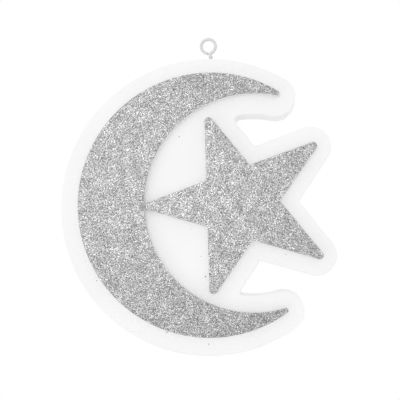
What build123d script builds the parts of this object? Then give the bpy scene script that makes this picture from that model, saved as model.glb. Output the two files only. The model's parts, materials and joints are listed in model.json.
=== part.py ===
from build123d import *
import math
import os

# Hanging crescent and star ornament, in millimetres. X runs to the right, Z up, and the front faces -Y.
# The origin is the centre of the hanging ring, and the board's middle plane is Y = 0.

# Crescent and star, laid out about the crescent's centre with the crescent's opening along +X
CRESCENT_RADIUS = 88.7
CRESCENT_WIDTH = 44.8
HORN_ANGLE = 49.8
HORN_ROUND = 1.7
STAR_RADIUS = 69.7
STAR_ROUND = 2.7
STAR_GAP = 0.8
STAR_DROP = 0.5

# The raised star was cut by hand: how much longer than its radius each sharp point is, and how many
# degrees it is turned from its even place, anticlockwise from the point next to the crescent
POINTS_LONGER = (0.3, -0.8, 1.9, 0.8, -1.9)
POINTS_TURNED = (-0.7, -1.7, 0.3, 0.2, 1.1)

# White board behind them: its borders, how much longer the points of its star are than the radius, and
# how many degrees each is turned
CRESCENT_BORDER = 12.0
STAR_BORDER = 11.1
BOARD_POINTS_LONGER = 0.9
BOARD_POINTS_TURNED = (0.0, 0.0, 0.3, 0.9, 0.5)
BOARD_THICKNESS = 15.0
BOARD_EDGE_BEVEL = 0.6
UPPER_NOTCH_ROUND = 3.2
LOWER_NOTCH_ROUND = 1.2

# Layers of each raised piece, from the board outwards, and how far off centre they were glued down
GLUE_THICKNESS = 0.3
CORE_THICKNESS = 4.3
GLITTER_THICKNESS = 0.4
GLUED_RIGHT = 1.15
GLUED_UP = 1.0

# How the design hangs: its opening points a little upwards, and the board's centre is right of the ring's
DESIGN_TILT = 2.3
BOARD_RIGHT_OF_RING = 1.55

# Screw eye bent from one wire, leaning to the left
WIRE_DIAMETER = 2.0
RING_INSIDE = 8.0
RING_CLEARANCE = 0.2
NECK_RADIUS = 1.5
NECK_LENGTH = 0.2
THREAD_DIAMETER = 2.9
THREAD_SHOULDER = 0.4
THREAD_SHOWING = 5.05
THREAD_SUNK = 14.0
POINT_LENGTH = 3.5
POINT_DIAMETER = 0.5
EYE_LEAN = 12.0

# Pilot hole in the board's top edge
HOLE_CLEARANCE = 0.05
HOLE_END_GAP = 0.5

# The crescent's inner circle passes through both sharp horn ends and the inner side of its widest place
inner_back = CRESCENT_RADIUS - CRESCENT_WIDTH
horn_reach = CRESCENT_RADIUS * math.cos(math.radians(HORN_ANGLE))
inner_centre = (CRESCENT_RADIUS**2 - inner_back**2) / (2 * (inner_back + horn_reach))
inner_radius = inner_centre + inner_back

# Centre of the round on the upper horn's end, which touches the outer and the inner circle
horn_from_outer = CRESCENT_RADIUS - HORN_ROUND
horn_from_inner = inner_radius + HORN_ROUND
horn_x = (horn_from_outer**2 - horn_from_inner**2 + inner_centre**2) / (2 * inner_centre)
horn_y = math.sqrt(horn_from_outer**2 - horn_x**2)

# The ring's middle line, and distances down the shank from the ring's centre
ring_radius = (RING_INSIDE + WIRE_DIAMETER) / 2
neck_top = math.sqrt(ring_radius**2 + 2 * ring_radius * NECK_RADIUS)
thread_top = neck_top + NECK_LENGTH
board_entry = thread_top + THREAD_SHOWING
thread_end = board_entry + THREAD_SUNK
hole_end = thread_end + HOLE_END_GAP

# Places of the board's design, of the raised pieces on its front, and of the leaning screw eye
lean = Rot(0, -EYE_LEAN, 0)
board_front = BOARD_THICKNESS / 2
board_top = -board_entry * math.cos(math.radians(EYE_LEAN))
board_centre = Pos(BOARD_RIGHT_OF_RING, board_top - CRESCENT_RADIUS - CRESCENT_BORDER)
board_design = board_centre * Rot(0, 0, DESIGN_TILT)
raised_design = Pos(GLUED_RIGHT, GLUED_UP) * board_design


def crescent_outline(grown=0.0):
    """Crescent, grown evenly all round: an outer and an inner arc, joined by an arc round each horn end."""
    outer_angle = math.degrees(math.atan2(horn_y, horn_x))
    inner_angle = math.degrees(math.atan2(horn_y, horn_x - inner_centre))
    horn_turn = outer_angle - inner_angle + 180
    return make_face(
        [
            CenterArc((0, 0), CRESCENT_RADIUS + grown, outer_angle, 360 - 2 * outer_angle),
            CenterArc((inner_centre, 0), inner_radius - grown, inner_angle, 360 - 2 * inner_angle),
            CenterArc((horn_x, horn_y), HORN_ROUND + grown, inner_angle + 180, horn_turn),
            CenterArc((horn_x, -horn_y), HORN_ROUND + grown, -outer_angle, horn_turn),
        ]
    )


def star_sides(points_longer, points_turned, grown):
    """Star's straight sides round its centre, as a place on each, moved outwards by grown, and its direction.

    Each side runs from one sharp point to the next but one.
    """
    points = []
    for step, (longer, turned) in enumerate(zip(points_longer, points_turned)):
        point_angle = 180 + 360 * step / len(points_longer) + turned
        points.append(Vector(STAR_RADIUS + longer, 0).rotate(Axis.Z, point_angle))
    sides = []
    for step, point in enumerate(points):
        along = (points[(step + 2) % len(points)] - point).normalized()
        sides.append((point + along.rotate(Axis.Z, -90) * grown, along))
    return sides


def crossing(side, other):
    """Place where two of the star's sides, made longer as needed, cross."""
    between = other[0] - side[0]
    return side[0] + side[1] * (between.cross(other[1]).Z / side[1].cross(other[1]).Z)


def star_outline(points_longer, points_turned, grown=0.0):
    """Star round its own centre, grown evenly all round: straight sides and rounded points."""
    sides = star_sides(points_longer, points_turned, grown)
    corners = []
    for step, side in enumerate(sides):
        corners.append(crossing(side, sides[step - 2]))
        corners.append(crossing(side, sides[step - 1]))
    sharp = Polygon(*corners, align=None)
    points = sharp.vertices().sort_by_distance((0, 0))[-len(sides) :]
    return fillet(points, STAR_ROUND + grown)


def star_centre():
    """Distance of the star's centre from the crescent's, which leaves the gap at the star's first point."""
    first_end = star_outline(POINTS_LONGER, POINTS_TURNED).bounding_box().min.X
    return STAR_GAP - inner_back - first_end


def raised_star():
    """Hand-cut star, whose first point ends short of the crescent's inner side."""
    return Pos(star_centre(), -STAR_DROP) * star_outline(POINTS_LONGER, POINTS_TURNED)


def board_star(grown):
    """Star that the board is cut to, with its own length and turn of points, grown evenly all round."""
    longer = [BOARD_POINTS_LONGER] * len(BOARD_POINTS_TURNED)
    return Pos(star_centre(), 0) * star_outline(longer, BOARD_POINTS_TURNED, grown)


def notched_outline(notch_round):
    """Crescent and star with their borders, grown past them and shrunk back to round the notches."""
    joined = crescent_outline(CRESCENT_BORDER + notch_round) + board_star(STAR_BORDER + notch_round)
    return Face(joined.face().outer_wire().offset_2d(-notch_round, Kind.ARC))


def board_outline():
    """Board without holes, whose upper notch is rounder than the others."""
    reach = 2 * (CRESCENT_RADIUS + STAR_RADIUS + CRESCENT_BORDER)
    upper_part = Pos(0, STAR_BORDER) * Rectangle(reach, reach, align=(Align.CENTER, Align.MIN))
    return notched_outline(LOWER_NOTCH_ROUND) + (notched_outline(UPPER_NOTCH_ROUND) & upper_part)


def layer(outline, start, thickness):
    """Flat layer in front of the board's middle plane, from start outwards."""
    return extrude(Plane.XZ.offset(start) * outline, thickness)


def backing_board():
    """Board with its sharp edges taken off and the pilot hole for the screw eye."""
    board = layer(board_design * board_outline(), -board_front, BOARD_THICKNESS)
    board = chamfer(board.faces().filter_by(Axis.Y).edges(), BOARD_EDGE_BEVEL)
    hole_radius = THREAD_DIAMETER / 2 + HOLE_CLEARANCE
    hole = extrude(Pos(0, 0, -hole_end) * Circle(hole_radius), hole_end - thread_top)
    return board - lean * hole


def raised_layers(outline):
    """Glue film, core and glitter face of one raised piece, stacked on the board's front."""
    thicknesses = {"glue_film": GLUE_THICKNESS, "core": CORE_THICKNESS, "glitter_face": GLITTER_THICKNESS}
    start = board_front
    layers = {}
    for name, thickness in thicknesses.items():
        layers[name] = layer(raised_design * outline, start, thickness)
        start += thickness
    return layers


def eye_wire():
    """Ring and neck: one wire up a straight neck, round a small bend and along an almost closed ring."""
    bend_turn = math.degrees(math.atan2(neck_top, NECK_RADIUS))
    bend_reach = ring_radius + NECK_RADIUS
    ring_outside = ring_radius + WIRE_DIAMETER / 2
    end_reach = NECK_RADIUS + WIRE_DIAMETER / 2 + RING_CLEARANCE
    open_cosine = (ring_outside**2 + bend_reach**2 - end_reach**2) / (2 * ring_outside * bend_reach)
    ring_turn = 360 - math.degrees(math.acos(open_cosine))
    neck = Line((0, -thread_top), (0, -neck_top))
    bend = CenterArc((NECK_RADIUS, -neck_top), NECK_RADIUS, 180, -bend_turn)
    ring = CenterArc((0, 0), ring_radius, -bend_turn, ring_turn)
    section = Pos(0, 0, -thread_top) * Circle(WIRE_DIAMETER / 2)
    return sweep(section, path=Plane.XZ * (neck + bend + ring))


def eye_shank():
    """Threaded length as a plain bar, with a small shoulder at its top and a point at its end."""
    profile = Polygon(
        (0, -thread_end),
        (POINT_DIAMETER / 2, -thread_end),
        (THREAD_DIAMETER / 2, -thread_end + POINT_LENGTH),
        (THREAD_DIAMETER / 2, -thread_top - THREAD_SHOULDER),
        (WIRE_DIAMETER / 2, -thread_top),
        (0, -thread_top),
        align=None,
    )
    return revolve(Plane.XZ * profile, Axis.Z)


pieces = {"backing_board": backing_board(), "screw_eye": lean * (eye_wire() + eye_shank())}
for shape, outline in {"crescent": crescent_outline(), "star": raised_star()}.items():
    for name, solid in raised_layers(outline).items():
        pieces[f"{shape}_{name}"] = solid

os.makedirs("parts", exist_ok=True)
for name, solid in pieces.items():
    export_step(solid, f"parts/{name}.step")
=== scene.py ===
import json
import math

import bpy
import numpy as np
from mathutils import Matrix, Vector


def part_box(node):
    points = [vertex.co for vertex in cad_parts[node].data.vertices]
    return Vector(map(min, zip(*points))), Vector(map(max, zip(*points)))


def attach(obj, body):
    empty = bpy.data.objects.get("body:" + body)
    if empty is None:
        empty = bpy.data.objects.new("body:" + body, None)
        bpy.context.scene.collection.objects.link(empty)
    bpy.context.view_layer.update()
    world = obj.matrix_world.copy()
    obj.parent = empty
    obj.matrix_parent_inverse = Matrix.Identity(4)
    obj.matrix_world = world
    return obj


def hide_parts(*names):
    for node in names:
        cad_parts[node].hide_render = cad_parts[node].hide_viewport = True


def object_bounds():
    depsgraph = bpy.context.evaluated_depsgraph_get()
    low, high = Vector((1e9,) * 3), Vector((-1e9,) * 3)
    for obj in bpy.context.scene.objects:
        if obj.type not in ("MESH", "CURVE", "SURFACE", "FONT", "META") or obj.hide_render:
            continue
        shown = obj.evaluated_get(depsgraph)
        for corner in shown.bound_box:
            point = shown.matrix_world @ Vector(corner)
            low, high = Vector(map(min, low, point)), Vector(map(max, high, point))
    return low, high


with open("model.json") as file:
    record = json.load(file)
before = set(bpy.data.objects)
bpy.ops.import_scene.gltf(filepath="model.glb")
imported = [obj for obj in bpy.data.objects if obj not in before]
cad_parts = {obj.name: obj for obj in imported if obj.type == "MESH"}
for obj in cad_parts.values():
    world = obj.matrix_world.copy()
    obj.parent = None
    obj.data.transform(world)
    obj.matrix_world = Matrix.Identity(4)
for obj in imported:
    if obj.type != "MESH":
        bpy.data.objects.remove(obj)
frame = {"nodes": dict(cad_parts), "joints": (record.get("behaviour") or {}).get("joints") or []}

# Hanging crescent and star ornament, in metres. X runs to the right, Z up, and the front faces -Y.
# The origin is the centre of the hanging ring.
cad_low, cad_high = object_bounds()
RANDOM_SEED = 7
WHITE = (1, 1, 1, 1)

# Camera: its place, how far it is turned left and up in degrees, its lens in millimetres, the shift of its
# framing and the nearest distance that it sees
CAMERA_PLACE = (0.04415, -0.3562, -0.1368)
CAMERA_LEFT = 1.22
CAMERA_UP = 2.01
CAMERA_LENS = 46.64
CAMERA_SHIFT = (-0.152, 0.06125)
CAMERA_NEAREST = 0.01

# Light: the white surround, a little brighter in front than behind, a broad lamp in front that adds gloss
# alone, and a low lamp from the lower left that grazes the board
SURROUND_FRONT = 1.03
SURROUND_BACK = 0.93
FRONT_LAMP_PLACE = (-0.48, -1.6, 0.12)
FRONT_LAMP_SIZE = (1.0, 0.7)
FRONT_LAMP_POWER = 4.0
LOW_LAMP_PLACE = (-1.10, -0.85, -1.20)
LOW_LAMP_SIZE = (0.6, 0.6)
LOW_LAMP_POWER = 1.6

# Floor far below, of which the camera sees only a trace of shadow
FLOOR_HEIGHT = -1.6
FLOOR_RADIUS = 2.5
FLOOR_SIDES = 96
FLOOR_COLOUR = (0.9, 0.9, 0.9, 1)
FLOOR_ROUGHNESS = 0.8
FLOOR_SHADOW = 0.12

# Reading the solids: the decimal places to which corners that meet agree, how level a flat front is, and
# how many points are measured against an outline at once
MEETING_DIGITS = 7
LEVEL_WITHIN = 1e-6
POINTS_AT_ONCE = 20000

# Glitter: the side of one facet of the uneven layer, how unevenly the facets lie, how many facets the
# lattice reaches past the layer, and the flakes on the facets: how wide and how uneven they are, how far
# they lean as a slope, and how their tone changes over the layer and at its rim. The tone of each raised
# piece as a whole is painted light: the star's flakes are painted lighter and the crescent's darker, for
# how differently the two pieces catch the lamp
FACET = 0.00035
FACET_SHIFT = 0.28
FACET_RELIEF = 0.00006
LATTICE_MARGIN = 1.5
FLAKE_WIDTH = 0.00036
FLAKE_UNEVEN = 0.5
FLAKE_LEAN = 0.17
CLOUD_SIZES = (0.005, 0.025)
CLOUD_WAVES = 40
CLOUD_STRENGTH = 0.03
RIM_WIDTH = 0.0006
RIM_LIGHTER = 0.20
PAINTED_LIGHT_BY_LAYER = {"crescent": -0.025, "star": 0.012}

# Loose flakes that fell on the board's front: their places across and up from the ring's centre, and radii
STRAY_FLAKES = (
    (-0.0188, -0.0648, 0.00040),
    (0.0536, -0.1447, 0.00040),
    (-0.0005, -0.1596, 0.00060),
    (-0.0035, -0.1460, 0.00030),
    (-0.0103, -0.1275, 0.00030),
    (-0.0511, -0.1963, 0.00025),
    (-0.0485, -0.1964, 0.00030),
    (-0.0743, -0.1624, 0.00045),
    (-0.0264, -0.1970, 0.00060),
    (0.0018, -0.2047, 0.00050),
)
STRAY_SIDES = 6
STRAY_THICKNESS = 0.00008
STRAY_TONE = 0.05

# Screw eye: its wire, ring and neck
WIRE_RADIUS = 0.0010
RING_RADIUS = 0.0050
RING_CLEARANCE = 0.0002
NECK_RADIUS = 0.0015
NECK_LENGTH = 0.0002

# Its thread: the lengths that show and are sunk, the pitch and radii, how steeply its sides rise and from
# how far below the root, and the length over which it fades into the neck
THREAD_SHOWING = 0.00505
THREAD_SUNK = 0.0140
THREAD_PITCH = 0.0011
THREAD_ROOT = 0.00127
THREAD_CREST = 0.00144
THREAD_RISE = 1.6
THREAD_START = 0.1
THREAD_FADE = 0.00055

# Its ends: the point, with the share of its radius that the thread cuts, and the rounded end of the wire,
# with the share of its radius by which it narrows
POINT_LENGTH = 0.0035
POINT_RADIUS = 0.0001
POINT_THREAD = 0.2
END_LENGTH = 0.0003
END_NARROWER = 0.2

# Places along the shank, the bend and the ring, and round the wire
SHANK_STEPS = 320
BEND_STEPS = 16
RING_STEPS = 110
WIRE_SIDES = 28


def make_piece(name, points, faces, material, body):
    """Puts a worked-out surface into a mesh that rides on a body."""
    mesh = bpy.data.meshes.new(name)
    mesh.from_pydata(points.tolist(), [], faces)
    mesh.materials.append(material)
    piece = bpy.data.objects.new(name, mesh)
    bpy.context.scene.collection.objects.link(piece)
    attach(piece, body)
    return piece


def edge_loop(triangles):
    """Corners round the open edge of a triangle mesh, in order.

    An edge is open where no triangle runs along it the other way. The known stretch of the loop
    doubles at each step, as a leap over it takes all its corners to the ones that follow.
    """
    edges = triangles[:, [0, 1, 1, 2, 2, 0]].reshape(-1, 2)
    count = triangles.max() + 1
    forward = edges[:, 0] * count + edges[:, 1]
    backward = edges[:, 1] * count + edges[:, 0]
    edges = edges[~np.isin(forward, backward)]
    corners, places = np.unique(edges[:, 0], return_inverse=True)
    leap = np.empty(len(corners), int)
    leap[places] = np.searchsorted(corners, edges[:, 1])
    order = np.zeros(1, int)
    while len(order) < len(corners):
        order = np.concatenate([order, leap[order]])
        leap = leap[leap]
    return corners[order[: len(corners)]]


def front_outline(node):
    """Outline of a flat node's front face, as points across and up.

    The triangles' corners that meet are merged, and those of the lowest Y make the front face.
    """
    mesh = frame["nodes"][node].data
    mesh.calc_loop_triangles()
    points = np.empty(3 * len(mesh.vertices))
    mesh.vertices.foreach_get("co", points)
    triangles = np.empty(3 * len(mesh.loop_triangles), int)
    mesh.loop_triangles.foreach_get("vertices", triangles)
    points, merged = np.unique(points.reshape(-1, 3).round(MEETING_DIGITS), axis=0, return_inverse=True)
    triangles = merged[triangles].reshape(-1, 3)
    front = np.isclose(points[:, 1], points[:, 1].min(), atol=LEVEL_WITHIN)
    loop = edge_loop(triangles[front[triangles].all(axis=1)])
    return points[loop][:, [0, 2]]


def nearest_on_outline(points, outline):
    """Nearest points on a closed outline, and how deep inside it the points lie, below zero if outside.

    Each side is met at the foot of the point's perpendicular, held between the side's ends. A point
    lies inside where a ray to the right crosses an odd number of sides.
    """
    sides = np.roll(outline, -1, axis=0) - outline
    ends = outline + sides
    nearest, depths = [], []
    for group in np.array_split(points, 1 + len(points) // POINTS_AT_ONCE):
        from_start = group[:, None] - outline
        along = ((from_start * sides).sum(-1) / (sides**2).sum(-1)).clip(0, 1)
        gaps = from_start - along[..., None] * sides
        lengths = np.hypot(gaps[..., 0], gaps[..., 1])
        best = lengths.argmin(axis=1)
        each = np.arange(len(group))
        level = group[:, None, 1]
        spans = (outline[:, 1] > level) != (ends[:, 1] > level)
        rise = np.where(sides[:, 1] == 0, 1.0, sides[:, 1])
        crossing = outline[:, 0] + (level - outline[:, 1]) / rise * sides[:, 0]
        inside = (spans & (group[:, None, 0] < crossing)).sum(axis=1) % 2 == 1
        nearest.append(group - gaps[each, best])
        depths.append(np.where(inside, 1, -1) * lengths[each, best])
    return np.concatenate(nearest), np.concatenate(depths)


def facet_lattice(low, high):
    """Even lattice of triangles over a box and a margin round it, as its points and triangles.

    Odd rows are half a facet further right, so each point has six neighbours.
    """
    row_height = FACET * math.sqrt(3) / 2
    spare = int(2 * LATTICE_MARGIN) + 1
    columns = int((high[0] - low[0]) / FACET) + spare
    rows = int((high[1] - low[1]) / row_height) + spare
    row, column = np.mgrid[0:rows, 0:columns]
    odd = row % 2
    across = low[0] + (column + odd / 2 - LATTICE_MARGIN) * FACET
    up = low[1] + (row - LATTICE_MARGIN) * row_height
    index = row * columns + column
    here, right = index[:-1, :-1], index[:-1, 1:]
    above, above_right = index[1:, :-1], index[1:, 1:]
    odd = odd[:-1, :-1]
    rising = np.stack([here, right, np.where(odd, above_right, above)], -1)
    falling = np.stack([above, np.where(odd, here, right), above_right], -1)
    triangles = np.concatenate([rising.reshape(-1, 3), falling.reshape(-1, 3)])
    return np.stack([across, up], -1).reshape(-1, 2), triangles


def clouds(points, random):
    """Soft uneven tone over a flat area: the sum of many waves, each with its own length, way and start.

    It is divided by the sum's usual size, so that it stays at about one either way.
    """
    lengths = np.geomspace(*CLOUD_SIZES, CLOUD_WAVES)
    ways = random.uniform(0, 2 * math.pi, CLOUD_WAVES)
    waves = 2 * math.pi / lengths * np.stack([np.cos(ways), np.sin(ways)])
    starts = random.uniform(0, 2 * math.pi, CLOUD_WAVES)
    return np.cos(points @ waves + starts).sum(axis=1) / math.sqrt(CLOUD_WAVES / 2)


def set_tones(piece, domain, tones):
    """Keeps on a piece how light its flakes are, at each point or face."""
    attribute = piece.data.attributes.new("tone", "FLOAT", domain)
    attribute.data.foreach_set("value", tones.astype(np.float32))


def glitter_layer(shape, glitter, random):
    """Closed layer of small facets over one raised piece: an uneven front on a flat back.

    The lattice's outermost points go to the outline and to the layer's back. The others are shifted and
    sunk at random, so each facet leans its own way. Each point's tone says how light the flakes there are.
    """
    node = f"{shape}_glitter_face"
    front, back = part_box(node)[0].y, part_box(node)[1].y
    outline = front_outline(node)
    points, triangles = facet_lattice(outline.min(axis=0), outline.max(axis=0))
    nearest, depths = nearest_on_outline(points, outline)
    kept = depths > -FACET / 2
    rim = kept & (depths < FACET / 2)
    triangles = triangles[kept[triangles].all(axis=1) & ~rim[triangles].all(axis=1)]
    looseness = FACET_SHIFT * (depths / FACET - 1).clip(0, 1)
    points = points + FACET * looseness[:, None] * random.uniform(-1, 1, points.shape)
    points[rim] = nearest[rim]
    sunk = front + FACET_RELIEF * random.random(len(points))
    places = np.stack([points[:, 0], np.where(rim, back, sunk), points[:, 1]], -1)
    edge = (1 - depths / RIM_WIDTH).clip(0, 1)
    # Painted light: the layer's whole tone is shifted, the star's lighter and the crescent's darker
    tones = PAINTED_LIGHT_BY_LAYER[shape] + CLOUD_STRENGTH * clouds(points, random) + RIM_LIGHTER * edge
    used, triangles = np.unique(triangles, return_inverse=True)
    triangles = triangles.reshape(-1, 3)
    faces = triangles.tolist() + [edge_loop(triangles)[::-1].tolist()]
    layer = make_piece(f"{shape}_glitter", places[used], faces, glitter, "ornament")
    set_tones(layer, "POINT", tones[used])
    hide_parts(node)


def stray_flakes(glitter, random):
    """Loose flakes that lie flat on the board's front: a low closed prism each, turned at random."""
    count = len(STRAY_FLAKES)
    flakes = np.array(STRAY_FLAKES)[:, None]
    side_turns = np.arange(STRAY_SIDES) * 2 * math.pi / STRAY_SIDES
    turns = random.uniform(0, math.pi, (count, 1)) + side_turns
    corners = flakes[..., :2] + flakes[..., 2:] * np.stack([np.cos(turns), np.sin(turns)], -1)
    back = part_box("backing_board")[0].y
    depths = np.array([back - STRAY_THICKNESS, back])[None, :, None]
    across, up, depth = np.broadcast_arrays(corners[:, None, :, 0], corners[:, None, :, 1], depths)
    points = np.stack([across, depth, up], -1).reshape(-1, 3)
    index = np.arange(len(points)).reshape(count, 2, STRAY_SIDES)
    front_ring, back_ring = index[:, 0], index[:, 1]
    front_ahead, back_ahead = np.roll(front_ring, -1, axis=1), np.roll(back_ring, -1, axis=1)
    sides = np.stack([front_ring, back_ring, back_ahead, front_ahead], -1).reshape(-1, 4)
    faces = front_ring.tolist() + back_ring[:, ::-1].tolist() + sides.tolist()
    strays = make_piece("stray_flakes", points, faces, glitter, "ornament")
    set_tones(strays, "FACE", np.full(len(faces), STRAY_TONE))


def eye_line():
    """Middle line of the eye's wire from the point up, as places, directions and distances along it.

    It runs straight up the shank, clockwise round the small neck bend and anticlockwise round the ring.
    Places are across and up in the eye's own upright plane, from the ring's centre.
    """
    neck_top = math.sqrt(RING_RADIUS**2 + 2 * RING_RADIUS * NECK_RADIUS)
    bend_turn = math.atan2(neck_top, NECK_RADIUS)
    bend_reach = RING_RADIUS + NECK_RADIUS
    ring_outside = RING_RADIUS + WIRE_RADIUS
    end_reach = NECK_RADIUS + WIRE_RADIUS + RING_CLEARANCE
    gap_cosine = (ring_outside**2 + bend_reach**2 - end_reach**2) / (2 * ring_outside * bend_reach)
    ring_turn = 2 * math.pi - math.acos(gap_cosine)
    shank = NECK_LENGTH + THREAD_SHOWING + THREAD_SUNK
    rise = np.linspace(-neck_top - shank, -neck_top, SHANK_STEPS)
    bend = math.pi - np.linspace(0, bend_turn, BEND_STEPS)[1:]
    ring = -bend_turn + np.linspace(0, ring_turn, RING_STEPS)[1:]
    straight = np.stack([np.zeros_like(rise), rise], -1)
    bent = np.stack([NECK_RADIUS * (1 + np.cos(bend)), NECK_RADIUS * np.sin(bend) - neck_top], -1)
    round_ring = RING_RADIUS * np.stack([np.cos(ring), np.sin(ring)], -1)
    places = np.concatenate([straight, bent, round_ring])
    directions = np.concatenate(
        [
            np.stack([np.zeros_like(rise), np.ones_like(rise)], -1),
            np.stack([np.sin(bend), -np.cos(bend)], -1),
            np.stack([-np.sin(ring), np.cos(ring)], -1),
        ]
    )
    steps = np.hypot(*np.diff(places, axis=0).T)
    return places, directions, np.concatenate([[0], np.cumsum(steps)])


def eye_radius(along, around):
    """Radius of the eye's wire at each place along it and each angle around it.

    It is the wire's, except along the thread, where it rises from root to crest once in each pitch and
    turn, and at both ends: the point is a threaded cone, and the cut end of the wire is rounded over.
    """
    turns = along[:, None] / THREAD_PITCH - around / (2 * math.pi)
    ridge = 1 - np.abs(2 * (turns % 1) - 1)
    cut = THREAD_ROOT + (THREAD_CREST - THREAD_ROOT) * (THREAD_RISE * ridge - THREAD_START).clip(0, 1)
    fade = ((THREAD_SHOWING + THREAD_SUNK - along) / THREAD_FADE).clip(0, 1)
    radius = WIRE_RADIUS + (cut - WIRE_RADIUS) * fade[:, None]
    cone = POINT_RADIUS + (THREAD_CREST - POINT_RADIUS) * (along / POINT_LENGTH).clip(0, 1)
    radius = np.minimum(radius, cone[:, None] * (1 - POINT_THREAD + POINT_THREAD * ridge))
    from_end = ((along[-1] - along) / END_LENGTH).clip(0, 1)
    rounding = 1 - END_NARROWER + END_NARROWER * np.sqrt(1 - (1 - from_end) ** 2)
    return radius * rounding[:, None]


def screw_eye():
    """Wire eye with a cut thread: a round section carried along the eye's line, square to it."""
    places, directions, along = eye_line()
    around = np.linspace(0, 2 * math.pi, WIRE_SIDES, endpoint=False)
    radius = eye_radius(along, around)
    lift = np.array(frame["joints"][0]["axis"])
    across = np.array([lift[2], 0.0, -lift[0]])
    depth = np.array([0.0, 1.0, 0.0])
    middle = places[:, :1] * across + places[:, 1:] * lift
    sideways = directions[:, 1:] * across - directions[:, :1] * lift
    ways = np.cos(around)[None, :, None] * sideways[:, None] + np.sin(around)[None, :, None] * depth
    points = middle[:, None] + radius[..., None] * ways
    index = np.arange(radius.size).reshape(radius.shape)
    ahead = np.roll(index, -1, axis=1)
    quads = np.stack([index[:-1], ahead[:-1], ahead[1:], index[1:]], -1).reshape(-1, 4)
    faces = quads.tolist() + [index[0, ::-1].tolist(), index[-1].tolist()]
    eye = make_piece("wire_screw_eye", points.reshape(-1, 3), faces, zinc_wire(), "eye")
    eye.data.shade_smooth()
    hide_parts("screw_eye")


def fill(node, inputs):
    """Fills a node's inputs by name or number, by a link from another node's output or by a value."""
    for key, value in inputs.items():
        if isinstance(value, bpy.types.NodeSocket):
            node.id_data.links.new(value, node.inputs[key])
        else:
            node.inputs[key].default_value = value
    return node.outputs


def add_node(tree, kind, inputs, **options):
    """Adds a node of a kind, sets its options, fills its inputs and gives its outputs."""
    node = tree.nodes.new(f"ShaderNode{kind}")
    for key, value in options.items():
        setattr(node, key, value)
    return fill(node, inputs)


def new_material(name):
    """Node material with its main shader, as the material, its tree and the shader."""
    material = bpy.data.materials.new(name)
    material.use_nodes = True
    tree = material.node_tree
    return material, tree, tree.nodes["Principled BSDF"]


def object_place(tree):
    """Place on the object, in metres."""
    return add_node(tree, "TexCoord", {})["Object"]


def noise(tree, place, **settings):
    """Uneven amount from 0 to 1 over a surface, with as many lumps to the metre as its scale says."""
    return add_node(tree, "TexNoise", {"Vector": place, **settings})["Fac"]


def between(tree, amount, low, high):
    """Value that runs from low to high as an amount runs from 0 to 1."""
    return add_node(tree, "MapRange", {"Value": amount, "To Min": low, "To Max": high})["Result"]


def bumps(tree, height, strength, depth):
    """Surface direction over bumps that follow an uneven height."""
    return add_node(tree, "Bump", {"Height": height, "Strength": strength, "Distance": depth})["Normal"]


def colour_steps(tree, amount, steps):
    """Colour that runs through steps, each given as a place from 0 to 1 and a colour, as an amount grows."""
    ramp = tree.nodes.new("ShaderNodeValToRGB")
    elements = ramp.color_ramp.elements
    for place, _ in steps[1:-1]:
        elements.new(place)
    for element, (place, colour) in zip(elements, steps):
        element.position = place
        element.color = (*colour, 1)
    return fill(ramp, {"Fac": amount})["Color"]


def white_paint():
    """Matt white paint on fine fibreboard: faint clouds, and a fine stipple from the roller."""
    material, tree, shader = new_material("white_paint")
    place = object_place(tree)
    cloud = noise(tree, place, Scale=28.0, Detail=4.0, Roughness=0.55)
    stipple = noise(tree, place, Scale=1500.0, Detail=3.0, Roughness=0.6)
    whites = [(0.35, (0.912, 0.912, 0.911)), (0.65, (0.932, 0.932, 0.932))]
    finish = {
        "Base Color": colour_steps(tree, cloud, whites),
        "Roughness": between(tree, stipple, low=0.42, high=0.62),
        "Specular IOR Level": 0.35,
        "Normal": bumps(tree, stipple, strength=0.18, depth=0.00012),
    }
    fill(shader, finish)
    return material


def core_edge():
    """Sealed cut edge of the raised pieces: pale grey, with faint saw marks across its thickness."""
    material, tree, shader = new_material("core_edge")
    stretch = {"Vector": object_place(tree), "Scale": (1.0, 0.08, 1.0)}
    across_thickness = add_node(tree, "Mapping", stretch)["Vector"]
    marks = noise(tree, across_thickness, Scale=1100.0, Detail=4.0, Roughness=0.6)
    greys = [(0.3, (0.76, 0.76, 0.755)), (0.7, (0.82, 0.82, 0.815))]
    finish = {
        "Base Color": colour_steps(tree, marks, greys),
        "Roughness": 0.6,
        "Specular IOR Level": 0.3,
        "Normal": bumps(tree, marks, strength=0.25, depth=0.0001),
    }
    fill(shader, finish)
    return material


def clear_glue():
    """Dried craft glue: milky, glossy and a little uneven in colour."""
    material, tree, shader = new_material("clear_glue")
    cloud = noise(tree, object_place(tree), Scale=350.0, Detail=3.0)
    creams = [(0.3, (0.80, 0.795, 0.775)), (0.7, (0.87, 0.868, 0.855))]
    fill(shader, {"Base Color": colour_steps(tree, cloud, creams), "Roughness": 0.3})
    return material


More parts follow.
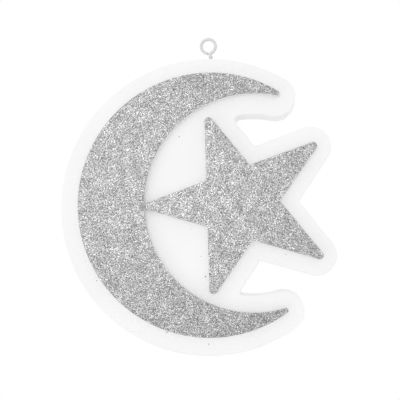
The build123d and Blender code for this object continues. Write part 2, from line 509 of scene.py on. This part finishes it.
def silver_glitter():
    """Silver flakes as small cells.

    Each cell's grey is shifted by the layer's tone and painted light; it leans its own way from the facet
    below.
    """
    material, tree, shader = new_material("silver_glitter_flakes")
    cells = {"Vector": object_place(tree), "Scale": 1 / FLAKE_WIDTH, "Randomness": FLAKE_UNEVEN}
    flakes = add_node(tree, "TexVoronoi", cells)["Color"]
    parts = add_node(tree, "SeparateColor", {"Color": flakes})
    tone = add_node(tree, "Attribute", {}, attribute_name="tone")["Fac"]
    lightness = add_node(tree, "Math", {0: parts["Red"], 1: tone}, operation="ADD")["Value"]
    greys = [
        (0.0, (0.13, 0.13, 0.131)),
        (0.45, (0.28, 0.28, 0.281)),
        (0.82, (0.54, 0.54, 0.540)),
        (1.0, (0.90, 0.90, 0.900)),
    ]
    slopes = {}
    for part, axis in {"Green": "X", "Blue": "Z"}.items():
        slopes[axis] = between(tree, parts[part], low=-FLAKE_LEAN, high=FLAKE_LEAN)
    lean = add_node(tree, "CombineXYZ", slopes)["Vector"]
    facet = add_node(tree, "NewGeometry", {})["Normal"]
    leaning = add_node(tree, "VectorMath", {0: facet, 1: lean}, operation="ADD")["Vector"]
    finish = {
        "Base Color": colour_steps(tree, lightness, greys),
        "Metallic": 0.9,
        "Roughness": 0.3,
        "Normal": add_node(tree, "VectorMath", {0: leaning}, operation="NORMALIZE")["Vector"],
    }
    fill(shader, finish)
    return material


def zinc_wire():
    """Zinc-plated wire: soft grey metal, faintly clouded, with a very fine even grain."""
    material, tree, shader = new_material("zinc_wire_finish")
    place = object_place(tree)
    cloud = noise(tree, place, Scale=700.0, Detail=3.0, Roughness=0.6)
    grain = noise(tree, place, Scale=6000.0, Detail=2.0, Roughness=0.5)
    greys = [(0.3, (0.693, 0.701, 0.698)), (0.7, (0.738, 0.745, 0.741))]
    finish = {
        "Base Color": colour_steps(tree, cloud, greys),
        "Metallic": 1.0,
        "Roughness": between(tree, grain, low=0.62, high=0.72),
        "Normal": bumps(tree, grain, strength=0.05, depth=0.00002),
    }
    fill(shader, finish)
    return material


def dress_nodes():
    """Gives the pieces that keep their solid's shape their finish."""
    paint, edge, glue = white_paint(), core_edge(), clear_glue()
    finishes = {"backing_board": paint}
    for shape in PAINTED_LIGHT_BY_LAYER:
        finishes[f"{shape}_core"] = edge
        finishes[f"{shape}_glue_film"] = glue
    for node, finish in finishes.items():
        frame["nodes"][node].data.materials[0] = finish


def seen_background(tree, lit, seen):
    """Mixes two shaders so that the camera and reflections see one and other light paths the other."""
    path = add_node(tree, "LightPath", {})
    either = path["Is Camera Ray"]
    for kind in ("Is Glossy Ray", "Is Transmission Ray"):
        either = add_node(tree, "Math", {0: either, 1: path[kind]}, operation="MAXIMUM")["Value"]
    return add_node(tree, "MixShader", {0: either, 1: lit, 2: seen})["Shader"]


def surround():
    """White surround: plain white to the camera and in reflections, and fading backwards as a light."""
    world = bpy.data.worlds.new("surround")
    bpy.context.scene.world = world
    world.use_nodes = True
    tree = world.node_tree
    way = add_node(tree, "TexCoord", {})["Generated"]
    backwards = add_node(tree, "SeparateXYZ", {"Vector": way})["Y"]
    fading = {"Value": backwards, "From Min": -1, "To Min": SURROUND_FRONT, "To Max": SURROUND_BACK}
    strength = add_node(tree, "MapRange", fading)["Result"]
    light = fill(tree.nodes["Background"], {"Color": WHITE, "Strength": strength})["Background"]
    white = add_node(tree, "Background", {"Color": WHITE})["Background"]
    fill(tree.nodes["World Output"], {"Surface": seen_background(tree, light, white)})


def floor():
    """Plain pale disc far below the ornament, white to the camera but for a trace of shadow."""
    turns = np.linspace(0, 2 * math.pi, FLOOR_SIDES, endpoint=False)
    rim = np.stack([np.cos(turns), np.sin(turns), np.zeros_like(turns)], -1)
    mesh = bpy.data.meshes.new("floor")
    mesh.from_pydata((FLOOR_RADIUS * rim + [0, 0, FLOOR_HEIGHT]).tolist(), [], [list(range(FLOOR_SIDES))])
    disc = bpy.data.objects.new("floor", mesh)
    bpy.context.scene.collection.objects.link(disc)
    material, tree, shader = new_material("pale_floor")
    lit = fill(shader, {"Base Color": FLOOR_COLOUR, "Roughness": FLOOR_ROUGHNESS})["BSDF"]
    white = add_node(tree, "Emission", {"Color": WHITE})["Emission"]
    shaded = add_node(tree, "MixShader", {0: FLOOR_SHADOW, 1: white, 2: lit})["Shader"]
    fill(tree.nodes["Material Output"], {"Surface": seen_background(tree, lit, shaded)})
    mesh.materials.append(material)


def soft_lamp(name, place, size, power, gloss_alone=False):
    """Soft lamp, so wide and so high, that faces the middle of the ornament and isn't seen by the camera."""
    light = bpy.data.lights.new(name, "AREA")
    light.shape = "RECTANGLE"
    light.size, light.size_y = size
    light.energy = power
    lamp = bpy.data.objects.new(name, light)
    lamp.location = place
    target = (cad_low + cad_high) / 2
    lamp.rotation_euler = (target - lamp.location).to_track_quat("-Z", "Y").to_euler()
    lamp.visible_camera = False
    lamp.visible_diffuse = not gloss_alone
    bpy.context.scene.collection.objects.link(lamp)


def camera():
    """Camera at the photograph's place, with the lens shift of its framing."""
    data = bpy.data.cameras.new("camera")
    data.lens = CAMERA_LENS
    data.shift_x, data.shift_y = CAMERA_SHIFT
    data.clip_start = CAMERA_NEAREST
    eye = bpy.data.objects.new("camera", data)
    eye.location = CAMERA_PLACE
    eye.rotation_euler = (math.radians(90 + CAMERA_UP), 0, math.radians(CAMERA_LEFT))
    bpy.context.scene.collection.objects.link(eye)
    bpy.context.scene.camera = eye


random = np.random.default_rng(RANDOM_SEED)
dress_nodes()
glitter = silver_glitter()
for shape in PAINTED_LIGHT_BY_LAYER:
    glitter_layer(shape, glitter, random)
stray_flakes(glitter, random)
screw_eye()
surround()
floor()
soft_lamp("front_lamp", FRONT_LAMP_PLACE, FRONT_LAMP_SIZE, FRONT_LAMP_POWER, gloss_alone=True)
soft_lamp("low_lamp", LOW_LAMP_PLACE, LOW_LAMP_SIZE, LOW_LAMP_POWER)
camera()
bpy.context.scene.view_settings.view_transform = "Standard"
